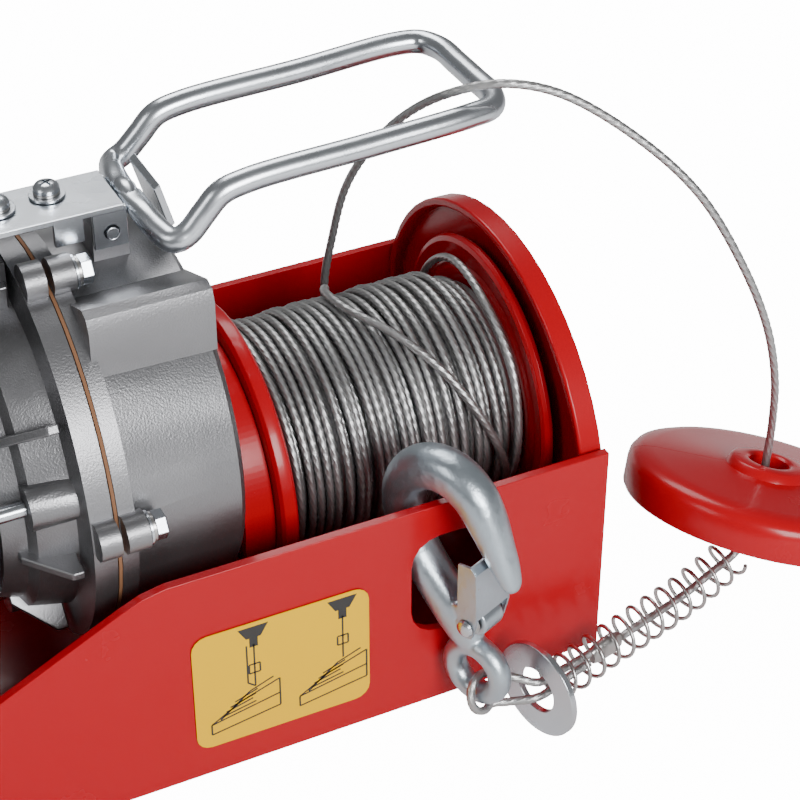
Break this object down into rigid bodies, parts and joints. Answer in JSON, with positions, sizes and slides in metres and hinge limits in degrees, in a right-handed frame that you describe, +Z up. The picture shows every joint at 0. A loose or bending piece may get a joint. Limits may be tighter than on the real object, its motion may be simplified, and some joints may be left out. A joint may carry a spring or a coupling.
{
  "type": "electric wire rope hoist",
  "caption": "Compact electric wire-rope hoist: drum in a folded steel channel, geared motor, limit lever, stop weight and a latched hook parked in the wall's slot.",
  "frame": {"origin": "middle of the hoist's footprint, on the surface it stands on", "axes": "+X along the drum from the motor to the end plate, +Y to the plain wall, away from the hook, +Z up"},
  "size_m": [0.4783, 0.1901, 0.1993],
  "materials": {
    "red_powder_coat": "gloss powder coat",
    "cast_aluminium": "as cast, satin",
    "zinc_plate": "bright zinc plate",
    "steel": "machined",
    "wire_rope": "galvanised, stranded",
    "gasket": "fibre",
    "label": "printed film",
    "black_plastic": "moulded",
    "brake_lining": "friction lining"
  },
  "bodies": {
    "hoist_frame": {"frame_channel": "red_powder_coat", "base_bolt_1": "zinc_plate", "base_bolt_2": "zinc_plate", "base_bolt_3": "zinc_plate", "base_bolt_4": "zinc_plate", "end_plate": "red_powder_coat", "partition_plate": "red_powder_coat", "instruction_label": "label", "drum_axle": "steel", "gear_case": "cast_aluminium", "lever_pin": "zinc_plate", "case_gasket": "gasket", "gear_cover": "cast_aluminium", "tie_rod_1": "zinc_plate", "tie_rod_2": "zinc_plate", "tie_rod_3": "zinc_plate", "tie_rod_4": "zinc_plate", "case_bolt_1": "zinc_plate", "case_bolt_2": "zinc_plate", "case_bolt_3": "zinc_plate", "case_bolt_4": "zinc_plate", "case_bolt_5": "zinc_plate", "case_bolt_6": "zinc_plate", "stator_housing": "cast_aluminium", "motor_end_shield": "cast_aluminium", "fan_cowl": "black_plastic", "terminal_box": "black_plastic", "mains_gland": "black_plastic", "pendant_gland": "black_plastic", "terminal_lid": "black_plastic", "run_capacitor": "black_plastic", "limit_switch": "black_plastic", "rope_free": "wire_rope", "rope_eye": "wire_rope", "rope_ferrule": "steel", "stop_spring": "steel", "spring_washer": "zinc_plate"},
    "drum": {"drum_spool": "red_powder_coat", "wound_rope": "wire_rope", "drum_ring_gear": "red_powder_coat"},
    "output_train": {"output_gear": "steel", "output_shaft": "steel"},
    "counter_train": {"counter_gear": "steel", "counter_shaft": "steel"},
    "rotor_train": {"rotor_core": "steel", "rotor_shaft": "steel", "brake_disc": "brake_lining", "cooling_fan": "black_plastic"},
    "limit_lever": {"lever_rod": "zinc_plate", "lever_plate": "zinc_plate", "lever_screw_1": "zinc_plate", "lever_screw_2": "zinc_plate", "lever_gusset": "zinc_plate"},
    "plunger": {"switch_plunger": "red_powder_coat"},
    "hook": {"lifting_hook": "zinc_plate", "latch_rivet": "zinc_plate"},
    "latch": {"hook_latch": "zinc_plate"},
    "stop_disc": {"stop_half_a": "red_powder_coat", "stop_half_b": "red_powder_coat"}
  },
  "joints": [
    {"name": "drum_spin", "type": "hinge", "parent": "hoist_frame", "child": "drum", "pos_m": [0.134, 0, 0.0705], "axis": [1, 0, 0], "continuous": true},
    {"name": "output_spin", "type": "hinge", "parent": "hoist_frame", "child": "output_train", "pos_m": [0.054, 0, 0.0985], "axis": [1, 0, 0], "continuous": true},
    {"name": "counter_spin", "type": "hinge", "parent": "hoist_frame", "child": "counter_train", "pos_m": [0.034, 0.02443, 0.10739], "axis": [1, 0, 0], "continuous": true},
    {"name": "rotor_spin", "type": "hinge", "parent": "hoist_frame", "child": "rotor_train", "pos_m": [-0.066, 0, 0.0985], "axis": [1, 0, 0], "continuous": true},
    {"name": "limit_lever_tilt", "type": "hinge", "parent": "hoist_frame", "child": "limit_lever", "pos_m": [0.0485, 0, 0.1675], "axis": [0, -1, 0], "range_deg": [0, 1.5], "stiffness_Nm_per_rad": 0.8},
    {"name": "switch_plunger_press", "type": "slide", "parent": "hoist_frame", "child": "plunger", "axis": [0, 0, -1], "range_m": [0, 0.0013]},
    {"name": "hook_swing", "type": "hinge", "parent": "hoist_frame", "child": "hook", "pos_m": [0.1314, -0.086, 0.0262], "axis": [-0.9171, -0.3987, 0], "range_deg": [0, 5]},
    {"name": "hook_latch_open", "type": "hinge", "parent": "hook", "child": "latch", "pos_m": [0.13197, -0.08732, 0.04927], "axis": [-0.9171, -0.3987, 0], "range_deg": [0, 12], "stiffness_Nm_per_rad": 0.02},
    {"name": "stop_disc_slide", "type": "slide", "parent": "hoist_frame", "child": "stop_disc", "axis": [0, 0, 1], "range_m": [0, 0.01]}
  ],
  "couplings": [
    {"joint": "output_spin", "follows": "drum_spin", "ratio": 3.8},
    {"joint": "counter_spin", "follows": "drum_spin", "ratio": -10.314},
    {"joint": "rotor_spin", "follows": "drum_spin", "ratio": 34.381},
    {"joint": "switch_plunger_press", "follows": "limit_lever_tilt", "m_per_rad": 0.0425}
  ]
}
